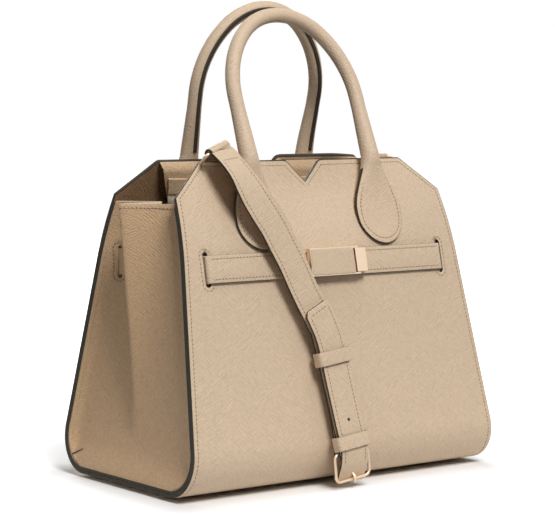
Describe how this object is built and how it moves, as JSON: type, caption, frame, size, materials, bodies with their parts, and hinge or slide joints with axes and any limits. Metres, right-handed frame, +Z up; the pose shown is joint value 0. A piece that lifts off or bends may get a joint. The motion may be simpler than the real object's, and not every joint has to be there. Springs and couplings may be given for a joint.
{
  "type": "top handle bag",
  "caption": "Structured leather top handle bag with leaning panels, pleated gussets, belt with hinged clasp, buckled shoulder strap and arched tilting handles.",
  "frame": {"origin": "on the floor under the middle of the base, in the flat end of the middle foot", "axes": "+Z up, the front panel with the clasp faces -Y, the left gusset faces -X"},
  "size_m": [0.3038, 0.2059, 0.3769],
  "materials": {
    "leather": "fine pressed grain, satin, painted dark edges",
    "lining": "smooth matte cloth",
    "metal": "polished pale rose gold plating",
    "board": "stiff fibre board",
    "cord": "handle cord, hidden",
    "edge": "matte dark edge paint"
  },
  "bodies": {
    "bag": {"front_panel": "leather", "back_panel": "leather", "base_panel": "leather", "left_gusset": "leather", "right_gusset": "leather", "front_facing": "leather", "back_facing": "leather", "inner_pocket_trim": "leather", "front_left_tab": "leather", "front_right_tab": "leather", "back_left_tab": "leather", "back_right_tab": "leather", "left_belt": "leather", "right_belt": "leather", "left_ring_tab": "leather", "right_ring_tab": "leather", "strap_upper": "leather", "strap_lower": "leather", "fixed_keeper": "leather", "front_lining": "lining", "back_lining": "lining", "base_lining": "lining", "left_gusset_lining": "lining", "right_gusset_lining": "lining", "inner_pocket_panel": "lining", "base_feet": "metal", "foot_washers": "metal", "clasp_bar": "metal", "clasp_catch": "metal", "left_ring": "metal", "buckle_frame": "metal", "base_board": "board"},
    "front_handle_body": {"front_handle": "leather", "front_handle_core": "cord", "front_handle_seam": "edge"},
    "back_handle_body": {"back_handle": "leather", "back_handle_core": "cord", "back_handle_seam": "edge"},
    "clasp_flap": {"clasp_frame": "metal", "clasp_inlay": "leather", "clasp_pin": "metal"},
    "keeper_loop": {"free_keeper": "leather"},
    "tongue_prong": {"buckle_tongue": "metal"},
    "spare_ring": {"right_ring": "metal"}
  },
  "joints": [
    {"name": "front_handle_tilt", "type": "hinge", "parent": "bag", "child": "front_handle_body", "pos_m": [0, -0.04015, 0.253], "axis": [1, 0, 0], "range_deg": [0, 50]},
    {"name": "back_handle_tilt", "type": "hinge", "parent": "bag", "child": "back_handle_body", "pos_m": [0, 0.04015, 0.253], "axis": [-1, 0, 0], "range_deg": [0, 50]},
    {"name": "clasp_lift", "type": "hinge", "parent": "bag", "child": "clasp_flap", "pos_m": [0.0246, -0.06797, 0.1723], "axis": [0, 0.2147, 0.9767], "range_deg": [0, 100]},
    {"name": "keeper_slide", "type": "slide", "parent": "bag", "child": "keeper_loop", "axis": [-0.1429, 0.2114, 0.9669], "range_m": [-0.02, 0.005]},
    {"name": "tongue_turn", "type": "hinge", "parent": "bag", "child": "tongue_prong", "pos_m": [-0.0063, -0.10267, 0.0295], "axis": [-0.9897, -0.0305, -0.1396], "range_deg": [0, 10]},
    {"name": "spare_ring_swing", "type": "hinge", "parent": "bag", "child": "spare_ring", "pos_m": [0.086, -0.01855, 0.2509], "axis": [1, 0, 0], "range_deg": [-20, 85]}
  ]
}
